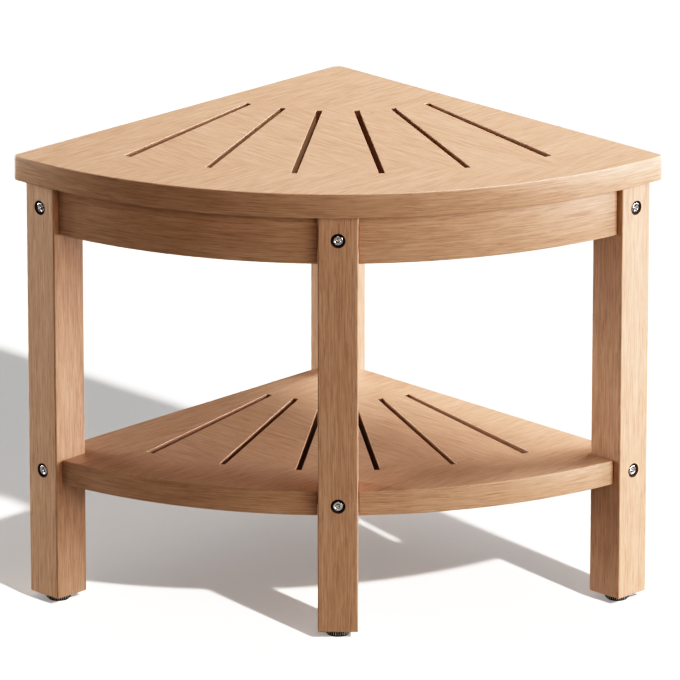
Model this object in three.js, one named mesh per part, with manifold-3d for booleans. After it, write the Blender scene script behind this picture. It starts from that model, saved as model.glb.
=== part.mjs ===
// Quarter-round corner shower stool: a slotted fan-shaped seat and shelf on four square legs with screw feet.
// Millimetres, +Z up. +Y points into the room corner, +X to the right of someone facing that corner.
// The origin is on the floor under the middle of the seat's bounding box.
import * as THREE from "three";
import { mergeVertices } from "three/addons/utils/BufferGeometryUtils.js";
import Module from "manifold-3d";

const wasm = await Module();
wasm.setup();

// ---- driving dimensions ----
const SEAT_RADIUS = 455;
const SEAT_THICKNESS = 25;
const SEAT_CORNER_ROUND = 6;
const SEAT_APEX_ROUND = 10;
const LEG_WIDTH = 40;
const LEG_LENGTH = 430;
const FOOT_HEIGHT = 8;
const LEG_WALL_INSET = 10; // wall-side leg faces behind the seat's straight edges
const LEG_OVERHANG = 8; // seat edge beyond the outer face of the front leg
const SIDE_LEG_REACH = 446; // outer face of a side leg, measured along the wall from the apex
const SHELF_TOP = 153;
const SHELF_THICKNESS = 25;
const SHELF_RADIUS = 441;
const SHELF_WALL_INSET = 19;
const APRON_RADIUS = 442.5;
const RAIL_THICKNESS = 20; // curved aprons and straight rails alike
const RAIL_HEIGHT = 50;
const SLOT_WIDTH = 5.8;
const SLOT_FLARE = 2.6; // the two outermost slots widen by this towards the walls, at their front ends
const OUTER_SLOT_TURN = 0.0035; // and are turned this much further towards the walls
const SLOT_COUNT = 6;
const SLOT_PITCH = Math.PI / 2 / (SLOT_COUNT + 1); // seven equal wedges between the walls
const SEAT_SLOT = { from: 167, to: 386 };
const SHELF_SLOT = { from: 130, to: 349 };
const GAP = 0.3; // clearance between neighbouring pieces

const BOLT = { radius: 3, headRadius: 5, headHeight: 6, socketRadius: 2.9, socketDepth: 3 };
const BOLT_SINK = 7; // depth of the counterbore's floor, so a head sits 1 mm below the wood
const COUNTERBORE_RADIUS = 7;
const NUT = { radius: 4.7, length: 17, reach: 25 }; // reach: from the leg's inner face to the nut's axis
const BOLT_END = 7; // bolt beyond the nut's axis
const LOWER_BOLT_DROP = 1; // the lower bolts sit this much below the middle of the shelf
const BACK_BOLT_SHIFT = 9; // the back leg's two upper bolts cross, one above the other
const SCREW = { radius: 2, headRadius: 4, headHeight: 3, length: 45, sink: 20 };
const TENON = { thickness: 8, length: 24, height: 24 };

const INSERT = { radius: 6, bore: 4.3, length: 14.4 };
const STUD = { radius: 4, length: 25 };
const FOOT = { radius: 12.5, ribDepth: 0.8, ribs: 36, padRadius: 10.8, padHeight: 1.5 };
const STUD_HOLD = 3; // how far the stud reaches down into the knurled base

// ---- places worked out from them ----
const ROOT2 = Math.SQRT2;
const EIGHTH = Math.PI / 4;
const LEG_TOP = FOOT_HEIGHT + LEG_LENGTH;
const SHELF_BOTTOM = SHELF_TOP - SHELF_THICKNESS;
const UPPER_BOLT_Z = LEG_TOP - RAIL_HEIGHT / 2;
const LOWER_BOLT_Z = SHELF_TOP - SHELF_THICKNESS / 2 - LOWER_BOLT_DROP;
const FRONT_FACE = SEAT_RADIUS - LEG_OVERHANG;
const LEG_INNER_LINE = LEG_WALL_INSET + LEG_WIDTH; // room-side faces of the legs, from the wall edge
const LEG_MIDDLE_LINE = LEG_WALL_INSET + LEG_WIDTH / 2;
const SIDE_LEG_BACK = SIDE_LEG_REACH - LEG_WIDTH;
const FRONT_LEG_BACK = FRONT_FACE - LEG_WIDTH;
const STUD_BOTTOM = FOOT_HEIGHT - GAP - STUD_HOLD;
const RAIL_BOTTOM = LEG_TOP - RAIL_HEIGHT;
const APRON_MIDDLE = APRON_RADIUS - RAIL_THICKNESS / 2;
const APEX_SETBACK = SEAT_APEX_ROUND * (ROOT2 - 1);
const APEX_Y = (SEAT_RADIUS + APEX_SETBACK) / 2;

// ---- materials ----
const wood = (color) => new THREE.MeshStandardMaterial({ color, roughness: 0.55, metalness: 0 });
const boardWood = wood(0xd2a679);
const frameWood = wood(0xc19368);
const hiddenWood = wood(0xb98c62);
const steel = new THREE.MeshStandardMaterial({ color: 0xc3c4c6, roughness: 0.28, metalness: 1 });
const zinc = new THREE.MeshStandardMaterial({ color: 0xa9a79e, roughness: 0.45, metalness: 1 });
const plastic = new THREE.MeshStandardMaterial({ color: 0x161616, roughness: 0.5, metalness: 0 });
const rubber = new THREE.MeshStandardMaterial({ color: 0x242424, roughness: 0.9, metalness: 0 });

// ---- solids ----
function solidOf(geometry) {
  const bare = geometry.clone();
  bare.deleteAttribute("normal");
  bare.deleteAttribute("uv");
  const merged = mergeVertices(bare);
  return new wasm.Manifold(new wasm.Mesh({
    numProp: 3,
    vertProperties: new Float32Array(merged.getAttribute("position").array),
    triVerts: new Uint32Array(merged.index.array),
  }));
}

function geometryOf(solid) {
  const mesh = solid.getMesh();
  const geometry = new THREE.BufferGeometry();
  geometry.setAttribute("position", new THREE.BufferAttribute(mesh.vertProperties, 3));
  geometry.setIndex(new THREE.BufferAttribute(mesh.triVerts, 1));
  return geometry;
}

function cut(geometry, tools) {
  const carved = tools.reduce((solid, tool) => solid.subtract(solidOf(tool)), solidOf(geometry));
  return geometryOf(carved);
}

function fuse(...geometries) {
  const [first, ...others] = geometries.map(solidOf);
  return geometryOf(others.reduce((solid, other) => solid.add(other), first));
}

// A round rod between two heights.
function rodZ(radius, fromZ, toZ, x = 0, y = 0, sides = 16) {
  return new THREE.CylinderGeometry(radius, radius, toZ - fromZ, sides)
    .rotateX(Math.PI / 2)
    .translate(x, y, (fromZ + toZ) / 2);
}

// A round rod along +Y at a height.
function rodY(radius, fromY, toY, z, sides = 16) {
  return new THREE.CylinderGeometry(radius, radius, toY - fromY, sides).translate(0, (fromY + toY) / 2, z);
}

// A round rod along X, centred on x = 0.
function rodX(radius, length, y, z, sides = 16) {
  return new THREE.CylinderGeometry(radius, radius, length, sides).rotateZ(Math.PI / 2).translate(0, y, z);
}

function board(outline, bottom, thickness, holes = []) {
  const shape = new THREE.Shape(outline);
  shape.holes = holes.map((hole) => new THREE.Path(hole));
  return new THREE.ExtrudeGeometry(shape, { depth: thickness, bevelEnabled: false })
    .translate(0, 0, bottom);
}

// ---- plan geometry, with the unrounded apex of the seat at (0, 0) ----
// `along` runs down a wall from the apex and `out` runs from that wall into the room;
// side -1 is the left wall and +1 the right one.
function wallPoint(side, along, out) {
  return new THREE.Vector2((side * (along - out)) / ROOT2, -(along + out) / ROOT2);
}

// Distance down a wall at which a circle about the apex is `out` away from the wall.
function alongAt(radius, out) {
  return Math.sqrt(radius ** 2 - out ** 2);
}

function bearing(point) {
  return Math.atan2(point.y, point.x);
}

function arc(centre, radius, from, to, steps) {
  const points = [];
  for (let step = 0; step <= steps; step += 1) {
    const angle = from + ((to - from) * step) / steps;
    points.push(new THREE.Vector2(centre.x + radius * Math.cos(angle), centre.y + radius * Math.sin(angle)));
  }
  return points;
}

// An arc about the apex from one of its points to another.
function sweep(from, to, steps) {
  return arc(new THREE.Vector2(), from.length(), bearing(from), bearing(to), steps);
}

// Radial slots about a fan's own apex, spread between the walls.
function slots(apexY, span) {
  const outlines = [];
  for (let index = 0; index < SLOT_COUNT; index += 1) {
    const isLeftmost = index === 0;
    const isRightmost = index === SLOT_COUNT - 1;
    const outerTurn = (isRightmost - isLeftmost) * OUTER_SLOT_TURN;
    const angle = (index - (SLOT_COUNT - 1) / 2) * SLOT_PITCH + outerTurn;
    const corner = (across, along) => new THREE.Vector2(across, -along)
      .rotateAround(new THREE.Vector2(), angle)
      .add(new THREE.Vector2(0, apexY));
    const half = SLOT_WIDTH / 2;
    const leftFlare = isLeftmost ? SLOT_FLARE : 0;
    const rightFlare = isRightmost ? SLOT_FLARE : 0;
    outlines.push([
      corner(-half, span.from),
      corner(-half - leftFlare, span.to),
      corner(half + rightFlare, span.to),
      corner(half, span.from),
    ]);
  }
  return outlines;
}

function seatOutline() {
  const reach = SEAT_RADIUS - SEAT_CORNER_ROUND;
  const corner = (side) => wallPoint(side, alongAt(reach, SEAT_CORNER_ROUND), SEAT_CORNER_ROUND);
  const [left, right] = [corner(-1), corner(1)];
  const apex = new THREE.Vector2(0, -SEAT_APEX_ROUND * ROOT2);
  const [rightNormal, leftNormal] = [EIGHTH, 3 * EIGHTH];
  return [
    ...arc(apex, SEAT_APEX_ROUND, rightNormal, leftNormal, 8),
    ...arc(left, SEAT_CORNER_ROUND, leftNormal, bearing(left) + 2 * Math.PI, 6),
    ...sweep(left.clone().setLength(SEAT_RADIUS), right.clone().setLength(SEAT_RADIUS), 48).slice(1, -1),
    ...arc(right, SEAT_CORNER_ROUND, bearing(right), rightNormal, 6),
  ];
}

// The shelf is let in round all four legs.
function shelfOutline() {
  const inner = LEG_INNER_LINE + GAP;
  const sideBack = SIDE_LEG_BACK - GAP;
  const halfNotch = LEG_WIDTH / 2 + GAP;
  const tip = (side) => wallPoint(side, alongAt(SHELF_RADIUS, inner), inner);
  const notchFront = (side) => new THREE.Vector2(side * halfNotch, -alongAt(SHELF_RADIUS, halfNotch));
  const notchBack = (side) => new THREE.Vector2(side * halfNotch, GAP - FRONT_LEG_BACK);
  return [
    wallPoint(-1, inner, inner),
    wallPoint(-1, inner, SHELF_WALL_INSET),
    wallPoint(-1, sideBack, SHELF_WALL_INSET),
    wallPoint(-1, sideBack, inner),
    ...sweep(tip(-1), notchFront(-1), 20),
    notchBack(-1),
    notchBack(1),
    ...sweep(notchFront(1), tip(1), 20),
    wallPoint(1, sideBack, inner),
    wallPoint(1, sideBack, SHELF_WALL_INSET),
    wallPoint(1, inner, SHELF_WALL_INSET),
  ];
}

// A curved apron from a side leg's room-side face to the front leg's side face.
function apronOutline(side) {
  const legOut = LEG_INNER_LINE + GAP;
  const legX = LEG_WIDTH / 2 + GAP;
  const wallEnd = (radius) => wallPoint(side, alongAt(radius, legOut), legOut);
  const legEnd = (radius) => new THREE.Vector2(side * legX, -alongAt(radius, legX));
  const innerRadius = APRON_RADIUS - RAIL_THICKNESS;
  return [
    ...sweep(wallEnd(APRON_RADIUS), legEnd(APRON_RADIUS), 20),
    ...sweep(legEnd(innerRadius), wallEnd(innerRadius), 20),
  ];
}

// ---- corners: one leg each, drawn with its bolts driven along the corner's own +Y ----
const sideLeg = (side) => wallPoint(side, SIDE_LEG_REACH - LEG_WIDTH / 2, LEG_MIDDLE_LINE);
const corners = [
  { name: "front", place: new THREE.Vector2(0, LEG_WIDTH / 2 - FRONT_FACE), turn: 0 },
  { name: "left", place: sideLeg(-1), turn: -EIGHTH },
  { name: "right", place: sideLeg(1), turn: EIGHTH },
  { name: "back", place: wallPoint(1, LEG_MIDDLE_LINE, LEG_MIDDLE_LINE), turn: 3 * EIGHTH },
];

function placed(corner, geometry) {
  return geometry.rotateZ(corner.turn).translate(corner.place.x, corner.place.y, 0);
}

// Bolts of a corner: height, extra turn about the leg's axis, and whether the nut stands upright.
function boltsOf(corner) {
  const lower = { name: "lower", z: LOWER_BOLT_Z, turn: 0, upright: true };
  if (corner.name !== "back") {
    return [{ name: "upper", z: UPPER_BOLT_Z, turn: 0, upright: false }, lower];
  }
  return [
    { name: "upper_left", z: UPPER_BOLT_Z + BACK_BOLT_SHIFT, turn: 0, upright: false },
    { name: "upper_right", z: UPPER_BOLT_Z - BACK_BOLT_SHIFT, turn: 2 * EIGHTH, upright: false },
    lower,
  ];
}

const NUT_Y = LEG_WIDTH / 2 + NUT.reach;
const HEAD_SEAT_Y = BOLT_SINK - LEG_WIDTH / 2;

function boltTunnel(bolt) {
  const end = NUT_Y + BOLT_END + 1;
  return rodY(BOLT.radius + GAP, -LEG_WIDTH / 2 - 1, end, bolt.z, 12).rotateZ(bolt.turn);
}

function counterbore(bolt) {
  return rodY(COUNTERBORE_RADIUS, -LEG_WIDTH / 2 - 1, HEAD_SEAT_Y, bolt.z, 24).rotateZ(bolt.turn);
}

function nutBarrel(bolt, radius, length) {
  if (!bolt.upright) {
    return rodX(radius, length, NUT_Y, bolt.z).rotateZ(bolt.turn);
  }
  return rodZ(radius, bolt.z - length / 2, bolt.z + length / 2, 0, NUT_Y);
}

// Through the rails; from below, and short of the top, in the shelf.
function nutPocket(bolt) {
  if (!bolt.upright) {
    return nutBarrel(bolt, NUT.radius + GAP, RAIL_THICKNESS + 2);
  }
  return rodZ(NUT.radius + GAP, SHELF_BOTTOM - 1, bolt.z + NUT.length / 2 + GAP, 0, NUT_Y);
}

// Tunnels and pockets that the corners' bolts leave in the rails or, with upright nuts, in the shelf.
function boltTools(upright) {
  return corners.flatMap((corner) => boltsOf(corner)
    .filter((bolt) => bolt.upright === upright)
    .flatMap((bolt) => [placed(corner, boltTunnel(bolt)), placed(corner, nutPocket(bolt))]));
}

// Loose tenons join a curved apron to the side of a leg. `sideX` is the leg's side in its own frame.
function tenonsOf(corner) {
  if (corner.name === "back") {
    return [];
  }
  if (corner.name === "front") {
    const y = -alongAt(APRON_MIDDLE, LEG_WIDTH / 2) - corner.place.y;
    return [{ name: "left", sideX: -1, y }, { name: "right", sideX: 1, y }];
  }
  const reach = alongAt(APRON_MIDDLE, LEG_INNER_LINE);
  const y = SIDE_LEG_REACH - LEG_WIDTH / 2 - reach;
  return [{ name: "apron", sideX: corner.name === "left" ? 1 : -1, y }];
}

function tenonBlock({ sideX, y }, grow = 0) {
  const { thickness, length, height } = TENON;
  return new THREE.BoxGeometry(length + 2 * grow, thickness + 2 * grow, height + 2 * grow)
    .translate(sideX * LEG_WIDTH / 2, y, UPPER_BOLT_Z);
}

function apronMortises() {
  return corners.flatMap((corner) => tenonsOf(corner)
    .map((tenon) => placed(corner, tenonBlock(tenon, GAP))));
}

// ---- seat screws, driven up through the rails and aprons ----
const SCREW_HEAD_Z = RAIL_BOTTOM + SCREW.sink;
const onApron = (angle) => new THREE.Vector2(0, -APRON_MIDDLE).rotateAround(new THREE.Vector2(), angle);
const screwPlaces = [
  { name: "left_back", at: wallPoint(-1, 130, LEG_MIDDLE_LINE) },
  { name: "left_front", at: wallPoint(-1, 300, LEG_MIDDLE_LINE) },
  { name: "right_back", at: wallPoint(1, 130, LEG_MIDDLE_LINE) },
  { name: "right_front", at: wallPoint(1, 300, LEG_MIDDLE_LINE) },
  { name: "centre_back", at: new THREE.Vector2(0, -140) },
  { name: "centre_front", at: new THREE.Vector2(0, -330) },
  { name: "apron_left", at: onApron(-EIGHTH / 2) },
  { name: "apron_right", at: onApron(EIGHTH / 2) },
];

function screwTools() {
  return screwPlaces.flatMap(({ at }) => [
    rodZ(SCREW.headRadius + GAP, RAIL_BOTTOM - 1, SCREW_HEAD_Z + SCREW.headHeight + GAP, at.x, at.y, 12),
    rodZ(SCREW.radius + GAP, RAIL_BOTTOM, SCREW_HEAD_Z + SCREW.length + GAP, at.x, at.y, 8),
  ]);
}

// ---- pieces ----
const stool = new THREE.Group();
stool.position.y = APEX_Y;

function addPiece(parent, name, geometry, material) {
  geometry.computeVertexNormals();
  const mesh = new THREE.Mesh(geometry, material);
  mesh.name = name;
  parent.add(mesh);
  return mesh;
}

function addBoards() {
  const seat = board(seatOutline(), LEG_TOP, SEAT_THICKNESS, slots(0, SEAT_SLOT));
  addPiece(stool, "seat_board", cut(seat, screwTools()), boardWood);
  const shelfSlots = slots(-SHELF_WALL_INSET * ROOT2, SHELF_SLOT);
  const shelf = board(shelfOutline(), SHELF_BOTTOM, SHELF_THICKNESS, shelfSlots);
  addPiece(stool, "shelf_board", cut(shelf, boltTools(true)), boardWood);
}

function addAprons() {
  for (const side of [-1, 1]) {
    const apron = board(apronOutline(side), RAIL_BOTTOM, RAIL_HEIGHT - GAP);
    const tools = [...apronMortises(), ...screwTools()];
    addPiece(stool, side < 0 ? "apron_left" : "apron_right", cut(apron, tools), frameWood);
  }
}

function addRails() {
  const tools = [...boltTools(false), ...screwTools()];
  const wallRailLength = SIDE_LEG_BACK - LEG_INNER_LINE - 2 * GAP;
  const height = RAIL_HEIGHT - GAP;
  const middleZ = RAIL_BOTTOM + height / 2;
  for (const side of [-1, 1]) {
    const middle = wallPoint(side, (SIDE_LEG_BACK + LEG_INNER_LINE) / 2, LEG_MIDDLE_LINE);
    const rail = new THREE.BoxGeometry(wallRailLength, RAIL_THICKNESS, height)
      .rotateZ(-side * EIGHTH)
      .translate(middle.x, middle.y, middleZ);
    addPiece(stool, side < 0 ? "rail_left" : "rail_right", cut(rail, tools), hiddenWood);
  }
  const backEnd = -LEG_INNER_LINE * ROOT2 - GAP;
  const frontEnd = -FRONT_LEG_BACK + GAP;
  const centre = new THREE.BoxGeometry(RAIL_THICKNESS, backEnd - frontEnd, height)
    .translate(0, (backEnd + frontEnd) / 2, middleZ);
  addPiece(stool, "rail_centre", cut(centre, tools), hiddenWood);
}

function legGeometry(corner) {
  const length = LEG_LENGTH - GAP;
  const post = new THREE.BoxGeometry(LEG_WIDTH, LEG_WIDTH, length)
    .translate(0, 0, FOOT_HEIGHT + length / 2);
  const below = FOOT_HEIGHT - 1;
  const footTools = [
    rodZ(INSERT.radius + GAP, below, FOOT_HEIGHT + INSERT.length + 2 * GAP),
    rodZ(STUD.radius + 2 * GAP, below, STUD_BOTTOM + STUD.length + 1),
  ];
  const bolts = boltsOf(corner);
  const mortises = tenonsOf(corner).map((tenon) => tenonBlock(tenon, GAP));
  return cut(post, [...bolts.map(boltTunnel), ...bolts.map(counterbore), ...mortises, ...footTools]);
}

function boltGeometry(bolt) {
  const top = HEAD_SEAT_Y - GAP;
  const face = top - BOLT.headHeight;
  const head = rodY(BOLT.headRadius, face, top, bolt.z, 20);
  const shank = rodY(BOLT.radius, top - 1, NUT_Y + BOLT_END, bolt.z, 12);
  const socket = rodY(BOLT.socketRadius, face - 1, face + BOLT.socketDepth, bolt.z, 6);
  return cut(fuse(head, shank), [socket]).rotateZ(bolt.turn);
}

function nutGeometry(bolt) {
  const hole = rodY(BOLT.radius + GAP, NUT_Y - 2 * NUT.radius, NUT_Y + 2 * NUT.radius, bolt.z, 12);
  return cut(nutBarrel(bolt, NUT.radius, NUT.length), [hole.rotateZ(bolt.turn)]);
}

// A disc with a toothed rim, for gripping with the fingers.
function knurledDisc(bottom, height) {
  const points = [];
  for (let step = 0; step < 2 * FOOT.ribs; step += 1) {
    const angle = (Math.PI * step) / FOOT.ribs;
    const radius = FOOT.radius - (step % 2) * FOOT.ribDepth;
    points.push(new THREE.Vector2(radius * Math.cos(angle), radius * Math.sin(angle)));
  }
  return board(points, bottom, height);
}

function addFoot(parent, corner) {
  const insertBottom = FOOT_HEIGHT + GAP;
  const insertTop = insertBottom + INSERT.length;
  const insert = cut(rodZ(INSERT.radius, insertBottom, insertTop), [
    rodZ(INSERT.bore, insertBottom - 1, insertTop + 1),
  ]);
  const socket = rodZ(STUD.radius + GAP, STUD_BOTTOM - GAP, FOOT_HEIGHT);
  const discHeight = FOOT_HEIGHT - GAP - FOOT.padHeight;
  const pieces = [
    ["foot_insert", insert, zinc],
    ["foot_stud", rodZ(STUD.radius, STUD_BOTTOM, STUD_BOTTOM + STUD.length), zinc],
    ["foot_base", cut(knurledDisc(FOOT.padHeight, discHeight), [socket]), plastic],
    ["foot_pad", rodZ(FOOT.padRadius, 0, FOOT.padHeight - GAP, 0, 0, 24), rubber],
  ];
  for (const [name, geometry, material] of pieces) {
    addPiece(parent, `${name}_${corner.name}`, geometry, material);
  }
}

function addCorner(corner) {
  const group = new THREE.Group();
  group.position.set(corner.place.x, corner.place.y, 0);
  group.rotation.z = corner.turn;
  stool.add(group);
  addPiece(group, `leg_${corner.name}`, legGeometry(corner), frameWood);
  for (const bolt of boltsOf(corner)) {
    addPiece(group, `bolt_${corner.name}_${bolt.name}`, boltGeometry(bolt), steel);
    addPiece(group, `nut_${corner.name}_${bolt.name}`, nutGeometry(bolt), zinc);
  }
  for (const tenon of tenonsOf(corner)) {
    addPiece(group, `tenon_${corner.name}_${tenon.name}`, tenonBlock(tenon), hiddenWood);
  }
  addFoot(group, corner);
}

function addScrews() {
  const neck = SCREW.length - 3 * SCREW.radius;
  for (const { name, at } of screwPlaces) {
    const screw = fuse(
      rodZ(SCREW.headRadius, 0, SCREW.headHeight, 0, 0, 10),
      rodZ(SCREW.radius, 1, neck, 0, 0, 8),
      new THREE.ConeGeometry(SCREW.radius, 3 * SCREW.radius, 8)
        .rotateX(Math.PI / 2)
        .translate(0, 0, SCREW.length - 1.5 * SCREW.radius),
    );
    const mesh = addPiece(stool, `screw_${name}`, screw, zinc);
    mesh.position.set(at.x, at.y, SCREW_HEAD_Z);
  }
}

addBoards();
addAprons();
addRails();
corners.forEach(addCorner);
addScrews();

export default stool;
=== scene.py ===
"""Looks of the corner shower stool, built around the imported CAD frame.

Metres, +Z up, +Y into the room corner. Plan shapes are drawn about the apex, where the seat's two
straight edges would meet, and `side` is -1 on the left and +1 on the right.
"""

import math

import bmesh
import bpy
from mathutils import Matrix, Vector
from mathutils.geometry import tessellate_polygon


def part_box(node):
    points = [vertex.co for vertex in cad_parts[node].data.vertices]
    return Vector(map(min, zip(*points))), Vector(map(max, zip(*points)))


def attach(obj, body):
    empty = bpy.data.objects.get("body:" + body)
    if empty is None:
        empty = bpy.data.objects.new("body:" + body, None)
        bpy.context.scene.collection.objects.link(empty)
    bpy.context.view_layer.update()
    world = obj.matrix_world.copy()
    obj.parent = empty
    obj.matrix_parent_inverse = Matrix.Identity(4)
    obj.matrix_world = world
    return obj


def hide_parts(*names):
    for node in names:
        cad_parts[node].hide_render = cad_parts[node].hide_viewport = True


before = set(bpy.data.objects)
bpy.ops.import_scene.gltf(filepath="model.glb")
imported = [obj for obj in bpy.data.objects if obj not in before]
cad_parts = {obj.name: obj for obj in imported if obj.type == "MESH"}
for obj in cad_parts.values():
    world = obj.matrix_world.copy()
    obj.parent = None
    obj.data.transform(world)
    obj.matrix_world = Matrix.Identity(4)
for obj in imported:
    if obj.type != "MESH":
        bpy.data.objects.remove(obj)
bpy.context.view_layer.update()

# ---- sizes, as in the CAD ----
SEAT_RADIUS = 0.455
SEAT_CORNER_ROUND = 0.006
SEAT_APEX_ROUND = 0.010
LEG_WIDTH = 0.040
LEG_WALL_INSET = 0.010
SIDE_LEG_REACH = 0.446
FRONT_FACE = 0.447
SHELF_RADIUS = 0.441
SHELF_WALL_INSET = 0.019
APRON_RADIUS = 0.4425
RAIL_THICKNESS = 0.020
SLOT_WIDTH = 0.0058
SLOT_FLARE = 0.0026
OUTER_SLOT_TURN = 0.0035
SLOT_COUNT = 6
SEAT_SLOTS = (0.167, 0.386)
SHELF_SLOTS = (0.130, 0.349)
COUNTERBORE_RADIUS = 0.007
COUNTERBORE_DEPTH = 0.007
HEAD_RECESS = 0.0007
HEAD_RADIUS = 0.005
HEAD_HEIGHT = 0.006
SHANK_RADIUS = 0.003
BOLT_LENGTH = 0.0713
NUT_REACH = 0.045
NUT_POCKET_RADIUS = 0.005
SCREW_POCKET_RADIUS = 0.0043
SCREW_POCKET_DEPTH = 0.0233
INSERT_RADIUS = 0.0063
INSERT_DEPTH = 0.015
KNOB_RADIUS = 0.0125
KNOB_RIBS = 36
PAD_RADIUS = 0.0108
STUD_RADIUS = 0.004
STUD_PITCH = 0.00125
GAP = 0.0003  # between pieces that touch

ROOT2 = math.sqrt(2)
EIGHTH = math.pi / 4
SLOT_PITCH = math.pi / 2 / (SLOT_COUNT + 1)
APEX = Vector((0, (SEAT_RADIUS + SEAT_APEX_ROUND * (ROOT2 - 1)) / 2))
LEG_INNER_LINE = LEG_WALL_INSET + LEG_WIDTH
LEG_MIDDLE_LINE = LEG_WALL_INSET + LEG_WIDTH / 2
SIDE_LEG_BACK = SIDE_LEG_REACH - LEG_WIDTH
FRONT_LEG_BACK = FRONT_FACE - LEG_WIDTH

# ---- roundings and other small detail ----
EDGE_ROUND = 0.0012
SEAT_EDGE_ROUND = 0.0014
FRAME_EDGE_ROUND = 0.001
SLOT_EDGE_ROUND = 0.0006
SHELF_CORNER_ROUND = 0.0012
LEG_CORNER_ROUND = 0.0016
RAIL_CORNER_ROUND = 0.001
APRON_CORNER_ROUND = 0.0008
SLOT_CORNER_ROUND = 0.0008
POCKET_CHAMFER = 0.0004
COUNTERBORE_CHAMFER = 0.0003
RIM_STEPS = 4
FLAT_LENGTH = 0.012  # a wall face longer than this is shaded flat
BLUNTEST_CORNER = math.radians(150)  # a blunter turn belongs to an arc
CUT_OUTSIDE = 0.001  # how far a cutting tool starts outside its piece

HEAD_RIM = 0.0007
HEAD_RIM_STEPS = 6
HEAD_FACE_RADIUS = 0.0037
HEAD_CHAMFER = 0.0003
SHANK_CHAMFER = 0.001
SOCKET_RADIUS = 0.0029
SOCKET_DEPTH = 0.0028
SOCKET_TIP_DEPTH = 0.0036
SOCKET_MOUTH = (0.0044, 0.0025)  # radius outside the head and at the chamfer's end
SOCKET_MOUTH_DEPTH = 0.0006

RIB_DEPTH = 0.0009
RIB_STEPS = 8
KNOB_FACE_RADIUS = 0.0110
KNOB_BEVEL = 0.0003
KNOB_SHOULDER = 0.0007
KNOB_BORE_RADIUS = 0.0043
KNOB_BORE_CHAMFER = 0.0004
KNOB_BORE_FLOOR = 0.0014
PAD_RIM = 0.0008
PAD_RIM_STEPS = 5
THREAD_DEPTH = 0.0007
THREAD_STEPS = 8
STUD_END_RADIUS = 0.0032
STUD_END_CHAMFER = 0.0004


# ---- plan shapes ----
def wall_point(side, along, out):
    """A point `along` a wall's edge from the apex and `out` from that edge into the room."""
    return APEX + Vector((side * (along - out), -(along + out))) / ROOT2


def along_at(radius, out):
    """How far along a wall's edge a circle about the apex crosses the line `out` from that edge."""
    return math.sqrt(radius**2 - out**2)


def bearing(vector):
    return math.atan2(vector.y, vector.x)


def arc(centre, radius, start, end, steps):
    angles = [start + (end - start) * step / steps for step in range(steps + 1)]
    return [centre + radius * Vector((math.cos(a), math.sin(a))) for a in angles]


def sweep(start, end, steps):
    """An arc about the apex from one of its points to another."""
    first, last = start - APEX, end - APEX
    return arc(APEX, first.length, bearing(first), bearing(last), steps)


def fillet(points, radius, steps=4):
    """Rounds every real corner of an outline and leaves the points of its arcs alone."""
    result = []
    for index, point in enumerate(points):
        back = (points[index - 1] - point).normalized()
        ahead = (points[(index + 1) % len(points)] - point).normalized()
        angle = math.acos(max(-1, min(1, back.dot(ahead))))
        if angle > BLUNTEST_CORNER:
            result.append(point)
            continue
        centre = point + (back + ahead).normalized() * radius / math.sin(angle / 2)
        reach = radius / math.tan(angle / 2)
        first = point + back * reach - centre
        last = point + ahead * reach - centre
        turn = (bearing(last) - bearing(first) + math.pi) % (2 * math.pi) - math.pi
        result += arc(centre, radius, bearing(first), bearing(first) + turn, steps)
    return result


def inset(loop, distance):
    """The loop moved by `distance` into the material, which lies to the left of its direction."""
    moved = []
    for index, point in enumerate(loop):
        before = (point - loop[index - 1]).normalized()
        after = (loop[(index + 1) % len(loop)] - point).normalized()
        normals = [Vector((-d.y, d.x)) for d in (before, after)]
        middle = (normals[0] + normals[1]).normalized()
        moved.append(point + middle * distance / middle.dot(normals[0]))
    return moved


def seat_outline():
    reach = SEAT_RADIUS - SEAT_CORNER_ROUND
    left, right = (
        wall_point(side, along_at(reach, SEAT_CORNER_ROUND), SEAT_CORNER_ROUND)
        for side in (-1, 1)
    )
    left_bearing = bearing(left - APEX) + 2 * math.pi
    right_bearing = bearing(right - APEX)
    apex = APEX - Vector((0, SEAT_APEX_ROUND * ROOT2))
    front = arc(APEX, SEAT_RADIUS, left_bearing, right_bearing + 2 * math.pi, 120)
    return [
        *arc(apex, SEAT_APEX_ROUND, EIGHTH, 3 * EIGHTH, 10),
        *arc(left, SEAT_CORNER_ROUND, 3 * EIGHTH, left_bearing, 8),
        *front[1:-1],
        *arc(right, SEAT_CORNER_ROUND, right_bearing, EIGHTH, 8),
    ]


def shelf_outline():
    """The shelf is let in round all four legs."""
    inner = LEG_INNER_LINE + GAP
    side_back = SIDE_LEG_BACK - GAP
    half_notch = LEG_WIDTH / 2 + GAP

    def tip(side):
        return wall_point(side, along_at(SHELF_RADIUS, inner), inner)

    def notch(side, reach):
        return APEX + Vector((side * half_notch, -reach))

    front = along_at(SHELF_RADIUS, half_notch)
    back = FRONT_LEG_BACK - GAP
    return [
        wall_point(-1, inner, inner),
        wall_point(-1, inner, SHELF_WALL_INSET),
        wall_point(-1, side_back, SHELF_WALL_INSET),
        wall_point(-1, side_back, inner),
        *sweep(tip(-1), notch(-1, front), 50),
        notch(-1, back),
        notch(1, back),
        *sweep(notch(1, front), tip(1), 50),
        wall_point(1, side_back, inner),
        wall_point(1, side_back, SHELF_WALL_INSET),
        wall_point(1, inner, SHELF_WALL_INSET),
    ]


def apron_outline(side):
    leg_out = LEG_INNER_LINE + GAP
    leg_x = LEG_WIDTH / 2 + GAP
    outer, inner = APRON_RADIUS, APRON_RADIUS - RAIL_THICKNESS

    def wall_end(radius):
        return wall_point(side, along_at(radius, leg_out), leg_out)

    def leg_end(radius):
        return APEX + Vector((side * leg_x, -along_at(radius, leg_x)))

    ring = [
        *sweep(wall_end(outer), leg_end(outer), 50),
        *sweep(leg_end(inner), wall_end(inner), 50),
    ]
    return ring if side < 0 else ring[::-1]


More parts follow.
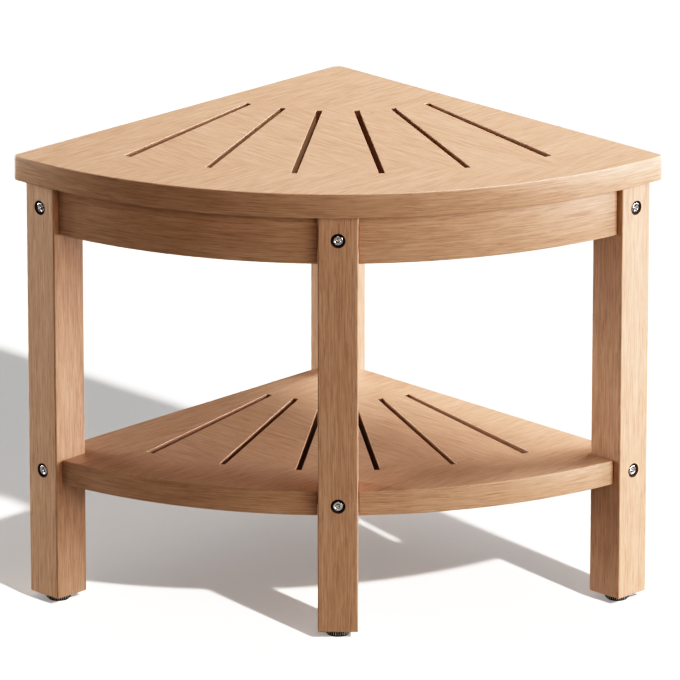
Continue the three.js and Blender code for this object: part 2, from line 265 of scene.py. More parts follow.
def rectangle(length, width):
    x, y = length / 2, width / 2
    return [Vector(p) for p in ((-x, -y), (x, -y), (x, y), (-x, y))]


def slots(apex_y, span):
    """Radial slots about a fan's own apex, each running clockwise as a hole does.

    The outermost two widen and turn towards the walls.
    """
    start, end = span
    half = SLOT_WIDTH / 2
    outlines = []
    for index in range(SLOT_COUNT):
        is_leftmost, is_rightmost = index == 0, index == SLOT_COUNT - 1
        left = half + (SLOT_FLARE if is_leftmost else 0)
        right = half + (SLOT_FLARE if is_rightmost else 0)
        angle = (index - (SLOT_COUNT - 1) / 2) * SLOT_PITCH
        angle += (is_rightmost - is_leftmost) * OUTER_SLOT_TURN
        corners = ((-half, -start), (half, -start), (right, -end), (-left, -end))
        turn = Matrix.Rotation(angle, 2)
        centre = APEX + Vector((0, apex_y))
        outline = [centre + turn @ Vector(corner) for corner in corners]
        outlines.append(fillet(outline, SLOT_CORNER_ROUND))
    return outlines


# ---- mesh building ----
def new_object(name, mesh, matrix=None):
    piece = bpy.data.objects.new(name, mesh)
    bpy.context.scene.collection.objects.link(piece)
    if matrix is not None:
        piece.matrix_world = matrix
    return piece


def finish_mesh(name, bm):
    mesh = bpy.data.meshes.new(name)
    bm.to_mesh(mesh)
    bm.free()
    return mesh


def quarter(steps):
    """The angles of a quarter turn."""
    return [math.pi / 2 * step / steps for step in range(steps + 1)]


def rim_profile(bottom, top, edge):
    """Offsets and heights that round both rims of a board."""
    lower = [
        (edge * (1 - math.sin(t)), bottom + edge * (1 - math.cos(t))) for t in quarter(RIM_STEPS)
    ]
    upper = [(offset, top - (height - bottom)) for offset, height in lower[::-1]]
    return lower + upper


def board(name, outline, bottom, top, holes=(), edge=EDGE_ROUND, matrix=None):
    """A flat board with rounded rims. The outline runs counter-clockwise and holes clockwise."""
    bm = bmesh.new()
    caps = {0: [], -1: []}
    for number, loop in enumerate([outline, *holes]):
        rim = edge if number == 0 else SLOT_EDGE_ROUND
        rings = [
            [bm.verts.new((p.x, p.y, height)) for p in inset(loop, offset)]
            for offset, height in rim_profile(bottom, top, rim)
        ]
        for level in range(len(rings) - 1):
            lower, upper = rings[level], rings[level + 1]
            is_wall = level == RIM_STEPS
            for i in range(len(loop)):
                j = (i + 1) % len(loop)
                face = bm.faces.new((lower[i], lower[j], upper[j], upper[i]))
                is_long = (loop[j] - loop[i]).length > FLAT_LENGTH
                face.smooth = not (is_wall and is_long)
                face.material_index = 1 if number and is_wall else 0
        for end in caps:
            caps[end].append(rings[end])
    for end, loops in caps.items():
        flat = [v for loop in loops for v in loop]
        for triangle in tessellate_polygon([[v.co for v in loop] for loop in loops]):
            corners = [flat[i] for i in triangle]
            sides = (corners[1].co - corners[0].co, corners[2].co - corners[0].co)
            upward = sides[0].cross(sides[1]).z > 0
            if upward != (end == -1):
                corners.reverse()
            bm.faces.new(corners)
    piece = new_object(name, finish_mesh(name, bm), matrix)
    piece.data.materials.append(BLANK)
    if holes:
        piece.data.materials.append(SHADED_SAWN)
    return piece


def turned(name, profile, segments, matrix=None, radius_at=None):
    """A solid of revolution about Z from (radius, height) points, from its bottom to its top.

    radius_at(radius, height, angle) may shape the radius round the axis.
    """
    bm = bmesh.new()
    rings = []
    for radius, height in profile:
        if radius == 0:
            rings.append([bm.verts.new((0, 0, height))])
            continue
        ring = []
        for index in range(segments):
            angle = 2 * math.pi * index / segments
            r = radius_at(radius, height, angle) if radius_at else radius
            ring.append(bm.verts.new((r * math.cos(angle), r * math.sin(angle), height)))
        rings.append(ring)
    for level in range(len(rings) - 1):
        lower, upper = rings[level], rings[level + 1]
        is_level = abs(profile[level][1] - profile[level + 1][1]) < 1e-7
        for i in range(segments):
            j = (i + 1) % segments
            corners = [lower[i % len(lower)], lower[j % len(lower)]]
            corners += [upper[j % len(upper)], upper[i % len(upper)]]
            unique = list(dict.fromkeys(corners))
            if len(unique) > 2:
                bm.faces.new(unique).smooth = not is_level
    return new_object(name, finish_mesh(name, bm), matrix)


def carve(piece, tools):
    """Cuts the tools out of the piece and deletes them."""
    for tool in tools:
        modifier = piece.modifiers.new(tool.name, "BOOLEAN")
        modifier.operation = "DIFFERENCE"
        modifier.solver = "EXACT"
        modifier.material_mode = "TRANSFER"
        modifier.object = tool
    bpy.context.view_layer.update()
    evaluated = piece.evaluated_get(bpy.context.evaluated_depsgraph_get())
    mesh = bpy.data.meshes.new_from_object(evaluated)
    piece.modifiers.clear()
    piece.data = mesh
    mesh.name = piece.name
    for tool in tools:
        bpy.data.objects.remove(tool)
    return piece


def rod(radius, start, end, matrix, flare=0.0, segments=48):
    """A tool for carve: a round rod along its own Z, wider by `flare` at its start."""
    profile = [(0, start), (radius, start)]
    if flare:
        outside = start - CUT_OUTSIDE
        profile = [(0, outside), (radius + flare + CUT_OUTSIDE, outside), (radius, start + flare)]
    profile += [(radius, end), (0, end)]
    tool = turned("tool", profile, segments, matrix)
    tool.data.materials.append(SHADED_DRILLED)
    return tool


# ---- node materials ----
class Nodes:
    """A small helper that adds linked nodes to a material's or a group's tree."""

    def __init__(self, tree):
        self.tree = tree

    def add(self, kind, inputs=None, **settings):
        node = self.tree.nodes.new(kind)
        for key, value in settings.items():
            setattr(node, key, value)
        for key, value in (inputs or {}).items():
            if isinstance(value, bpy.types.NodeSocket):
                self.tree.links.new(value, node.inputs[key])
            else:
                node.inputs[key].default_value = value
        return node

    def math(self, operation, a, b=0.0):
        return self.add("ShaderNodeMath", {0: a, 1: b}, operation=operation).outputs[0]

    def sway(self, value, amount):
        """A 0 to 1 value moved to swing about zero, times `amount`."""
        return self.math("MULTIPLY", self.math("SUBTRACT", value, 0.5), amount)

    def remap(self, value, low, high, to_low=0.0, to_high=1.0, smooth=False):
        inputs = {"Value": value, "From Min": low, "From Max": high}
        inputs.update({"To Min": to_low, "To Max": to_high})
        kind = "SMOOTHSTEP" if smooth else "LINEAR"
        return self.add("ShaderNodeMapRange", inputs, interpolation_type=kind).outputs[0]

    def mix(self, factor, a, b, kind="RGBA"):
        first, second, result = {"RGBA": (6, 7, 2), "FLOAT": (2, 3, 0)}[kind]
        node = self.add("ShaderNodeMix", {0: factor, first: a, second: b}, data_type=kind)
        return node.outputs[result]

    def noise(self, vector, detail, roughness=0.5):
        inputs = {"Vector": vector, "Scale": 1.0, "Detail": detail, "Roughness": roughness}
        return self.add("ShaderNodeTexNoise", inputs).outputs[0]

    def speckle(self, vector, density, detail, roughness=0.5):
        """Noise that is the same in every direction, with `density` cells to the metre."""
        return self.noise(self.stretch(vector, (density,) * 3), detail, roughness)

    def stretch(self, vector, scale, location=(0, 0, 0), rotation=(0, 0, 0)):
        inputs = {"Vector": vector, "Scale": scale, "Location": location}
        inputs["Rotation"] = rotation
        return self.add("ShaderNodeMapping", inputs).outputs[0]

    def combine(self, x, y, z):
        return self.add("ShaderNodeCombineXYZ", {"X": x, "Y": y, "Z": z}).outputs[0]

    def separate(self, vector):
        return self.add("ShaderNodeSeparateXYZ", {"Vector": vector}).outputs

    def object_coordinates(self):
        return self.add("ShaderNodeTexCoord").outputs["Object"]

    def bump(self, height, strength, distance):
        inputs = {"Height": height, "Strength": strength, "Distance": distance}
        return self.add("ShaderNodeBump", inputs).outputs[0]

    def surface(self, inputs):
        shader = self.add("ShaderNodeBsdfPrincipled", inputs)
        output = self.add("ShaderNodeOutputMaterial")
        self.tree.links.new(shader.outputs[0], output.inputs["Surface"])


def new_material(name):
    material = bpy.data.materials.new(name)
    material.use_nodes = True
    material.node_tree.nodes.clear()
    return material, Nodes(material.node_tree)


# Cells to the metre, along the grain and across it.
BEND_CELLS = (18, 70, 70)
STREAK_CELLS = (26, 780, 780)
BAND_CELLS = (3.0, 62, 62)
PORE_CELLS = (36, 760, 760)
GRAIN_BEND = 0.0030
PORE_RANGE = (0.57, 0.68)  # only the peaks of the noise are pores


def grain_group():
    """Streaks, broad bands and pores of wood whose grain runs along the vector's X."""
    group = bpy.data.node_groups.new("wood_grain", "ShaderNodeTree")
    group.interface.new_socket("Vector", in_out="INPUT", socket_type="NodeSocketVector")
    for name in ("Streaks", "Bands", "Pores"):
        group.interface.new_socket(name, in_out="OUTPUT", socket_type="NodeSocketFloat")
    nodes = Nodes(group)
    vector = nodes.add("NodeGroupInput").outputs[0]
    bend = nodes.sway(nodes.noise(nodes.stretch(vector, BEND_CELLS), 2.0), GRAIN_BEND)
    along, across, up = nodes.separate(vector)
    bent = nodes.combine(along, nodes.math("ADD", across, bend), nodes.math("ADD", up, bend))
    streaks = nodes.noise(nodes.stretch(bent, STREAK_CELLS), 4.0, 0.68)
    bands = nodes.noise(nodes.stretch(bent, BAND_CELLS, (3, 7, 1)), 2.0, 0.55)
    pores = nodes.noise(nodes.stretch(bent, PORE_CELLS, (1, 2, 3)), 3.0, 0.6)
    pores = nodes.remap(pores, *PORE_RANGE)
    result = nodes.add("NodeGroupOutput")
    for index, value in enumerate((streaks, bands, pores)):
        group.links.new(value, result.inputs[index])
    return group


GRAIN = grain_group()


def grain(nodes, vector):
    """(streaks, bands, pores) along the vector's X."""
    node = nodes.add("ShaderNodeGroup", node_tree=GRAIN)
    nodes.tree.links.new(vector, node.inputs[0])
    return node.outputs[0], node.outputs[1], node.outputs[2]


def shifted(nodes, vector, seed):
    """Another place in the grain, so that no two pieces look alike."""
    return nodes.stretch(vector, (1, 1, 1), seed)


def arc_grain(nodes, position, radius, seed):
    """Grain that runs along arcs about the apex; `radius` is where it has its true length."""
    x, y, z = nodes.separate(position)
    depth = nodes.math("SUBTRACT", APEX.y, y)
    along = nodes.math("MULTIPLY", nodes.math("ARCTAN2", x, depth), radius)
    plan = nodes.add("ShaderNodeVectorMath", {0: nodes.combine(x, depth, 0.0)}, operation="LENGTH")
    vector = nodes.combine(along, plan.outputs["Value"], z)
    return grain(nodes, shifted(nodes, vector, seed))


def wall_grain(nodes, position, seed):
    """Straight grain along the wall edges, which both run back at 45 degrees."""
    x, _, z = nodes.separate(position)
    along = nodes.math("MULTIPLY", nodes.math("ABSOLUTE", x), ROOT2)
    return grain(nodes, shifted(nodes, nodes.combine(along, 0.0, z), seed))


# Where the other veneer lies: from just before the slots until just before their ends, and
# between the flanks' angles. Its ends are ragged.
VENEER_LEAD = 0.03
VENEER_OVERLAP = 0.01
VENEER_TAIL = 0.05
VENEER_RAGGED = 0.05
VENEER_FLANKS = (math.radians(31), math.radians(34))
VENEER_SQUASH = 0.2  # less change of grain through the thickness


def fan_grain(nodes, position, span, seed, apex_shift):
    """A fan's top: veneers parallel to the left edge, and the other way between the slots."""
    start, end = span
    layers = []
    for number, turn in enumerate((-EIGHTH, EIGHTH)):
        place = Vector(seed) + Vector((number, 2 * number, 0))
        vector = nodes.stretch(position, (1, 1, 1), rotation=(0, 0, turn))
        layers.append(grain(nodes, nodes.stretch(vector, (1, 1, VENEER_SQUASH), place)))
    x, y, _ = nodes.separate(position)
    depth = nodes.math("SUBTRACT", APEX.y + apex_shift, y)
    angle = nodes.math("ABSOLUTE", nodes.math("ARCTAN2", x, depth))
    ragged = nodes.sway(nodes.speckle(position, 30, 3.0), VENEER_RAGGED)
    reach = nodes.math("ADD", depth, ragged)
    inside = nodes.remap(reach, start - VENEER_LEAD, start + VENEER_OVERLAP, smooth=True)
    before = nodes.remap(reach, end - VENEER_TAIL, end, 1.0, 0.0, smooth=True)
    between = nodes.remap(angle, *VENEER_FLANKS, 1.0, 0.0, smooth=True)
    share = nodes.math("MULTIPLY", nodes.math("MULTIPLY", inside, before), between)
    return [nodes.mix(share, a, b, "FLOAT") for a, b in zip(*layers)]


WOOD = {
    "dark": (0.415, 0.234, 0.136, 1),
    "middle": (0.548, 0.336, 0.207, 1),
    "light": (0.660, 0.436, 0.292, 1),
    "pore": (0.285, 0.135, 0.070, 1),
}
STREAK_CONTRAST = 2.2
BAND_CONTRAST = 0.4
PORE_STRENGTH = 0.44
# Parts of a face's normal over which a fan's grain changes to that of its wall edges or its top.
WALL_NORMAL = (0.2, 0.4)
TOP_NORMAL = (0.6, 0.8)


def wood(layers, nodes):
    """Colour, gloss and relief of oiled wood from its grain layers."""
    streaks, bands, pores = layers
    fine = nodes.sway(streaks, STREAK_CONTRAST)
    broad = nodes.sway(bands, BAND_CONTRAST)
    tone = nodes.math("ADD", nodes.math("ADD", fine, broad), 0.5)
    ramp = nodes.add("ShaderNodeValToRGB", {0: tone})
    stops = ramp.color_ramp.elements
    stops[0].position, stops[0].color = 0.0, WOOD["dark"]
    stops[1].position, stops[1].color = 1.0, WOOD["light"]
    middle = stops.new(0.5)
    middle.color = WOOD["middle"]
    shade = nodes.math("MULTIPLY", pores, PORE_STRENGTH)
    colour = nodes.mix(shade, ramp.outputs[0], WOOD["pore"])
    rough = nodes.remap(streaks, 0.3, 0.7, 0.50, 0.40)
    height = nodes.math("SUBTRACT", streaks, nodes.math("MULTIPLY", pores, 0.8))
    normal = nodes.bump(height, 0.25, 0.0002)
    nodes.surface({"Base Color": colour, "Roughness": rough, "Normal": normal})


def fan_wood(name, span, radius, seed, apex_shift=0.0):
    """Wood of a fan-shaped board: veneers on top, and grain that follows each of its edges."""
    material, nodes = new_material(name)
    position = nodes.object_coordinates()
    top = fan_grain(nodes, position, span, seed, apex_shift)
    front = arc_grain(nodes, position, radius, seed)
    wall = wall_grain(nodes, position, seed)
    _, backwards, upwards = nodes.separate(nodes.add("ShaderNodeNewGeometry").outputs["Normal"])
    is_wall = nodes.remap(backwards, *WALL_NORMAL)
    edge = [nodes.mix(is_wall, a, b, "FLOAT") for a, b in zip(front, wall)]
    is_top = nodes.remap(nodes.math("ABSOLUTE", upwards), *TOP_NORMAL)
    layers = [nodes.mix(is_top, a, b, "FLOAT") for a, b in zip(edge, top)]
    wood(layers, nodes)
    return material


def arc_wood(name, radius, seed):
    material, nodes = new_material(name)
    wood(arc_grain(nodes, nodes.object_coordinates(), radius, seed), nodes)
    return material


def straight_wood(name, seed, upright):
    """Wood whose grain runs along the piece's own Z if upright, or else its own X."""
    material, nodes = new_material(name)
    x, y, z = nodes.separate(nodes.object_coordinates())
    vector = nodes.combine(z, x, y) if upright else nodes.combine(x, y, z)
    wood(grain(nodes, shifted(nodes, vector, seed)), nodes)
    return material


def metal(name, colour, roughness, grime):
    """Metal with duller clouds; `grime` is how much duller and how uneven the gloss is."""
    material, nodes = new_material(name)
    position = nodes.object_coordinates()
    cloud = nodes.speckle(position, 420, 4.0, 0.6)
    fine = nodes.speckle(position, 5200, 2.0)
    rough = nodes.remap(cloud, 0.3, 0.7, roughness - grime, roughness + grime)
    dull = [channel * (1 - grime) for channel in colour[:3]]
    shade = nodes.mix(nodes.remap(cloud, 0.35, 0.65), colour, (*dull, 1))
    normal = nodes.bump(fine, 0.08, 0.00005)
    inputs = {"Base Color": shade, "Metallic": 1.0, "Roughness": rough, "Normal": normal}
    nodes.surface(inputs)
    return material


KNOB_BLACK = (0.006, 0.006, 0.007, 1)
# Painted highlight: the ribs' crests are painted pale grey where they would catch the light, and
# scuff noise breaks the stripes up.
KNOB_CREST_HIGHLIGHT = (0.66, 0.65, 0.63, 1)
KNOB_HIGHLIGHT_RANGE = (0.3, 1.0)
SCUFF_IN_HIGHLIGHT = 1.2


def ribbed_plastic(name):
    """Black plastic whose ribs carry a painted highlight of pale grey along their crests."""
    material, nodes = new_material(name)
    position = nodes.object_coordinates()
    x, y, _ = nodes.separate(position)
    angle = nodes.math("ARCTAN2", y, x)
    crest = nodes.math("COSINE", nodes.math("MULTIPLY", angle, KNOB_RIBS))
    scuff = nodes.speckle(position, 700, 3.0)
    crest_highlight = nodes.math("ADD", crest, nodes.sway(scuff, SCUFF_IN_HIGHLIGHT))
    crest_highlight = nodes.remap(crest_highlight, *KNOB_HIGHLIGHT_RANGE, smooth=True)
    shade = nodes.mix(crest_highlight, KNOB_BLACK, KNOB_CREST_HIGHLIGHT)
    rough = nodes.remap(crest_highlight, 0.0, 1.0, 0.30, 0.42)
    normal = nodes.bump(scuff, 0.2, 0.0001)
    nodes.surface({"Base Color": shade, "Roughness": rough, "Normal": normal})
    return material


def moulded(name, colour, roughness, relief):
    """Moulded rubber with a fine relief."""
    material, nodes = new_material(name)
    position = nodes.object_coordinates()
    cloud = nodes.speckle(position, 160, 3.0)
    fine = nodes.speckle(position, 2600, 2.0)
    paler = [min(1, channel * 1.7) for channel in colour[:3]]
    shade = nodes.mix(cloud, colour, (*paler, 1))
    rough = nodes.remap(cloud, 0.3, 0.7, roughness - 0.06, roughness + 0.06)
    normal = nodes.bump(fine, relief, 0.00012)
    nodes.surface({"Base Color": shade, "Roughness": rough, "Normal": normal})
    return material


def cut_wood(name, dark, light):
    """Rougher wood inside a drilled hole or a sawn slot, painted darker than the faces as the shade
    that falls inside it.
    """
    material, nodes = new_material(name)
    position = nodes.object_coordinates()
    fibres = nodes.speckle(position, 900, 4.0, 0.6)
    shade = nodes.mix(fibres, dark, light)
    rough = nodes.remap(fibres, 0.3, 0.7, 0.9, 0.75)
    normal = nodes.bump(fibres, 0.5, 0.0003)
    nodes.surface({"Base Color": shade, "Roughness": rough, "Normal": normal})
    return material


# ---- pieces ----
# Holds a board's first slot until adopt() puts its own wood there.
BLANK = bpy.data.materials.new("blank")
# Painted shade: the drilled wood is near black, as the shade inside the counterbores and pockets,
# and the sawn wood is darker brown, as the shade on the slots' walls.
SHADED_DRILLED = cut_wood("drilled_wood", (0.045, 0.022, 0.012, 1), (0.16, 0.085, 0.045, 1))
SHADED_SAWN = cut_wood("sawn_wood", (0.26, 0.138, 0.070, 1), (0.54, 0.315, 0.170, 1))
STEEL = metal("steel", (0.80, 0.80, 0.81, 1), 0.16, 0.05)
ZINC = metal("zinc", (0.62, 0.61, 0.57, 1), 0.42, 0.12)
PLASTIC = ribbed_plastic("foot_plastic")
RUBBER = moulded("foot_rubber", (0.020, 0.020, 0.020, 1), 0.82, 0.6)


def adopt(piece, node, body, material):
    """Puts a finished piece in its CAD node's place. Its drilled holes keep their own material."""
    if piece.data.materials:
        piece.data.materials[0] = material
    else:
        piece.data.materials.append(material)
    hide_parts(node)
    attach(piece, body)


def heights(node):
    low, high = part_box(node)
    return low.z, high.z


def corner_frames():
    """Each corner's name, middle and turn; a corner's own +Y is the way its bolts are driven."""
    for side, name in ((-1, "left"), (1, "right")):
        middle = wall_point(side, SIDE_LEG_REACH - LEG_WIDTH / 2, LEG_MIDDLE_LINE)
        yield name, middle, side * EIGHTH
    yield "front", APEX - Vector((0, FRONT_FACE - LEG_WIDTH / 2)), 0.0
    yield "back", wall_point(1, LEG_MIDDLE_LINE, LEG_MIDDLE_LINE), 3 * EIGHTH


def bolts_of(name):
    """(bolt, its extra turn) of a corner."""
    if name == "back":
        return [("back_upper_left", 0.0), ("back_upper_right", 2 * EIGHTH), ("back_lower", 0.0)]
    return [(f"{name}_upper", 0.0), (f"{name}_lower", 0.0)]


def placement(middle, turn, height=0.0):
    return Matrix.Translation((*middle, height)) @ Matrix.Rotation(turn, 4, "Z")


def bolt_matrix(middle, turn, height, depth):
    """A frame whose +Z runs into the leg, starting `depth` below its outer face."""
    start = Matrix.Translation((0, depth - LEG_WIDTH / 2, 0))
    return placement(middle, turn, height) @ start @ Matrix.Rotation(-math.pi / 2, 4, "X")


def bolt_height(bolt):
    """The height of a bolt's axis, from its head's box."""
    low, high = heights(f"bolt_{bolt}")
    return (low + high) / 2


def add_boards():
    low, high = heights("seat_board")
    holes = slots(0, SEAT_SLOTS)
    seat = board("seat_panel", seat_outline(), low, high, holes, SEAT_EDGE_ROUND)
    material = fan_wood("seat_wood", SEAT_SLOTS, SEAT_RADIUS, (0.3, 0.1, 0.2))
    adopt(seat, "seat_board", "stool", material)
    low, high = heights("shelf_board")
    shift = -SHELF_WALL_INSET * ROOT2
    outline = fillet(shelf_outline(), SHELF_CORNER_ROUND)
    shelf = board("shelf_panel", outline, low, high, slots(shift, SHELF_SLOTS))
    pockets = []
    for name, middle, turn in corner_frames():
        matrix = placement(middle, turn, low) @ Matrix.Translation((0, NUT_REACH, 0))
        top = heights(f"nut_{name}_lower")[1] - low
        pockets.append(rod(NUT_POCKET_RADIUS, 0, top, matrix, POCKET_CHAMFER))
    material = fan_wood("shelf_wood", SHELF_SLOTS, SHELF_RADIUS, (1.7, 0.6, 0.9), shift)
    adopt(carve(shelf, pockets), "shelf_board", "stool", material)


def screw_pockets(names, low):
    """Tools for the seat screws' pockets, which are drilled upwards from `low`."""
    tools = []
    for name in names:
        lowest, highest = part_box(f"screw_{name}")
        middle = (lowest + highest) / 2
        matrix = Matrix.Translation((middle.x, middle.y, low))
        tools.append(rod(SCREW_POCKET_RADIUS, 0, SCREW_POCKET_DEPTH, matrix, POCKET_CHAMFER))
    return tools


def add_aprons_and_rails():
    low, high = heights("apron_left")
    for side, name in ((-1, "left"), (1, "right")):
        outline = fillet(apron_outline(side), APRON_CORNER_ROUND)
        apron = board(f"curved_apron_{name}", outline, low, high, edge=FRAME_EDGE_ROUND)
        carve(apron, screw_pockets([f"apron_{name}"], low))
        material = arc_wood(f"apron_wood_{name}", APRON_RADIUS, (side, 0.5, 0.8))
        adopt(apron, f"apron_{name}", "stool", material)
        length = SIDE_LEG_BACK - LEG_INNER_LINE - 2 * GAP
        middle = wall_point(side, (SIDE_LEG_BACK + LEG_INNER_LINE) / 2, LEG_MIDDLE_LINE)
        add_rail(name, middle, -side * EIGHTH, length, low, high)
    back = LEG_INNER_LINE * ROOT2 + GAP
    front = FRONT_LEG_BACK - GAP
    middle = APEX - Vector((0, (back + front) / 2))
    add_rail("centre", middle, 2 * EIGHTH, front - back, low, high)


def add_rail(name, middle, turn, length, low, high):
    outline = fillet(rectangle(length, RAIL_THICKNESS), RAIL_CORNER_ROUND)
    rail = board(f"straight_rail_{name}", outline, 0, high - low, edge=FRAME_EDGE_ROUND)
    rail.matrix_world = placement(middle, turn, low)
    carve(rail, screw_pockets([f"{name}_back", f"{name}_front"], low))
    material = straight_wood(f"rail_wood_{name}", (*middle, turn), upright=False)
    adopt(rail, f"rail_{name}", "stool", material)


def add_legs():
    for number, (name, middle, turn) in enumerate(corner_frames()):
        low, high = heights(f"leg_{name}")
        outline = fillet(rectangle(LEG_WIDTH, LEG_WIDTH), LEG_CORNER_ROUND)
        leg = board(f"leg_post_{name}", outline, low, high, matrix=placement(middle, turn))
        tools = [rod(INSERT_RADIUS, low, low + INSERT_DEPTH, placement(middle, turn))]
        for bolt, extra in bolts_of(name):
            tools.append(counterbore(bolt_matrix(middle, turn + extra, bolt_height(bolt), 0)))
            add_bolt(bolt, bolt_matrix(middle, turn + extra, bolt_height(bolt), HEAD_RECESS))
        material = straight_wood(f"leg_wood_{name}", (2.3 * number, 0.7, number), upright=True)
        adopt(carve(leg, tools), f"leg_{name}", "stool", material)


def counterbore(matrix):
    return rod(COUNTERBORE_RADIUS, 0, COUNTERBORE_DEPTH, matrix, COUNTERBORE_CHAMFER, 64)


def add_bolt(name, matrix):
    """A socket head with a rounded rim and a chamfered hexagon, on a plain shank."""
    inner = HEAD_RADIUS - HEAD_RIM
    rim = [
        (inner + HEAD_RIM * math.sin(t), HEAD_RIM * (1 - math.cos(t)))
        for t in quarter(HEAD_RIM_STEPS)
    ]
    profile = [
        (0, 0),
        (HEAD_FACE_RADIUS, 0),
        *rim,
        (HEAD_RADIUS, HEAD_HEIGHT - HEAD_CHAMFER),
        (HEAD_RADIUS - HEAD_CHAMFER, HEAD_HEIGHT),
        (SHANK_RADIUS, HEAD_HEIGHT),
        (SHANK_RADIUS, BOLT_LENGTH - SHANK_CHAMFER),
        (SHANK_RADIUS - SHANK_CHAMFER, BOLT_LENGTH),
        (0, BOLT_LENGTH),
    ]
    bolt = turned(f"socket_bolt_{name}", profile, 48, matrix)
    adopt(carve(bolt, socket(matrix)), f"bolt_{name}", "stool", STEEL)


def socket(matrix):
    """Tools for a bolt's hexagon, which ends in a point, and for the chamfer round its mouth."""
    hexagon = [
        (0, -CUT_OUTSIDE),
        (SOCKET_RADIUS, -CUT_OUTSIDE),
        (SOCKET_RADIUS, SOCKET_DEPTH),
        (0, SOCKET_TIP_DEPTH),
    ]
    outer, inner = SOCKET_MOUTH
    chamfer = [
        (0, -CUT_OUTSIDE),
        (outer, -CUT_OUTSIDE),
        (inner, SOCKET_MOUTH_DEPTH),
        (0, SOCKET_MOUTH_DEPTH),
    ]
    return [turned("tool", hexagon, 6, matrix), turned("tool", chamfer, 48, matrix)]


def ribbed(radius, height, angle):
    """Round ribs on the outer wall of a foot's base."""
    if radius < KNOB_RADIUS - RIB_DEPTH:
        return radius
    groove = 0.5 - 0.5 * math.cos(KNOB_RIBS * angle)
    return radius - RIB_DEPTH * groove**2


def thread(radius, height, angle):
    """A pointed helical thread."""
    phase = (height / STUD_PITCH - angle / (2 * math.pi)) % 1
    return radius - THREAD_DEPTH * abs(2 * phase - 1)


def add_foot_base(name, matrix):
    """A ribbed knob, bevelled on both rims, with a blind bore for the stud from above."""
    low, high = heights(f"foot_base_{name}")
    bevel_radius = KNOB_FACE_RADIUS + RIB_DEPTH
    profile = [
        (0, low),
        (KNOB_FACE_RADIUS, low),
        (bevel_radius, low + KNOB_BEVEL),
        (KNOB_RADIUS, low + KNOB_SHOULDER),
        (KNOB_RADIUS, high - KNOB_SHOULDER),
        (bevel_radius, high - KNOB_BEVEL),
        (KNOB_FACE_RADIUS, high),
        (KNOB_BORE_RADIUS + KNOB_BORE_CHAMFER, high),
        (KNOB_BORE_RADIUS, high - KNOB_BORE_CHAMFER),
        (KNOB_BORE_RADIUS, low + KNOB_BORE_FLOOR),
        (0, low + KNOB_BORE_FLOOR),
    ]
    base = turned(f"foot_knob_{name}", profile, KNOB_RIBS * RIB_STEPS, matrix, ribbed)
    adopt(base, f"foot_base_{name}", f"foot_{name}", PLASTIC)


def add_foot_pad(name, matrix):
    """A disc whose lower rim is rounded."""
    low, high = heights(f"foot_pad_{name}")
    inner = PAD_RADIUS - PAD_RIM
    rim = [
        (inner + PAD_RIM * math.sin(t), low + PAD_RIM * (1 - math.cos(t)))
        for t in quarter(PAD_RIM_STEPS)
    ]
    profile = [(0, low), *rim, (PAD_RADIUS, high), (0, high)]
    pad = turned(f"foot_sole_{name}", profile, 72, matrix)
    adopt(pad, f"foot_pad_{name}", f"foot_{name}", RUBBER)


def add_foot_stud(name, matrix):
    """A threaded rod with a short bevel at each end."""
    low, high = heights(f"foot_stud_{name}")
    steps = round((high - low) / STUD_PITCH * THREAD_STEPS)
    first, last = low + STUD_END_CHAMFER, high - STUD_END_CHAMFER
    wall = [(STUD_RADIUS, first + (last - first) * step / steps) for step in range(steps + 1)]
    profile = [(0, low), (STUD_END_RADIUS, low), *wall, (STUD_END_RADIUS, high), (0, high)]
    stud = turned(f"foot_thread_{name}", profile, 32, matrix, thread)
    adopt(stud, f"foot_stud_{name}", f"stud_{name}", ZINC)


def add_feet():
    for name, middle, turn in corner_frames():
        matrix = placement(middle, turn)
        add_foot_base(name, matrix)
        add_foot_pad(name, matrix)
        add_foot_stud(name, matrix)


def dress_hidden_nodes():
    """The CAD nodes that stay get finished materials on their own slots."""
    hidden = straight_wood("tenon_wood", (5.0, 1.0, 2.0), upright=False)
    for name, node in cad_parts.items():
        if name.startswith(("nut_", "foot_insert_", "screw_")):
            material = ZINC
        elif name.startswith("tenon_"):
            material = hidden
        else:
            continue
        for slot in node.material_slots:
            slot.link = "OBJECT"
            slot.material = material


# ---- stage, light and camera ----
FLOOR_RADIUS = 1.6
FLOOR_COLOURS = ((0.86, 0.86, 0.86, 1), (0.88, 0.88, 0.88, 1))
BACKDROP_STRENGTH = 1.1
LIT_POINT = Vector((0, 0, 0.25))
SUN_PLACE = (37.2, 35.8)  # azimuth and elevation in degrees
OVERHEAD = (0, 90)
SUN_SPREAD = math.radians(2.4)
WARM = (1.0, 0.95, 0.87)
FLOOR_SHINE = 1.65
FLOOR_SUN = 2.6
FLOOR_SHADE = 0.88
OVERCAST_POWER = 42.0
OVERCAST_DISTANCE = 3.5
OVERCAST_SIZE = 6.0
SOFTBOX_DISTANCE = 2.6
SOFTBOX_SIZE = 1.2
# name, azimuth, elevation, power and colour
SOFTBOXES = [
    ("back_left", -118, 8, 86, (0.82, 0.92, 1.0)),
    ("right", 110, 10, 82, (0.78, 0.84, 1.0)),
    ("top", 115, 66, 80, (0.82, 0.90, 1.0)),
    ("right_front", 70, 8, 50, (0.75, 0.86, 1.0)),
    ("left", -90, 8, 8, (1.0, 0.92, 0.78)),
    ("front_right", 50, 12, 16, (1.0, 0.92, 0.7)),
    ("front", 0, 30, 8, (1.0, 0.8, 0.75)),
]
VIEW_CONTRAST = 0.4
CURVE_STEPS = 16
FOCAL_LENGTH = 439.85
SHIFT_X = 0.00297
CAMERA_PITCH = math.radians(17.96)
CAMERA_TARGET = Vector((0, -0.0004, 0.2415))
CAMERA_DISTANCE = 8.3453


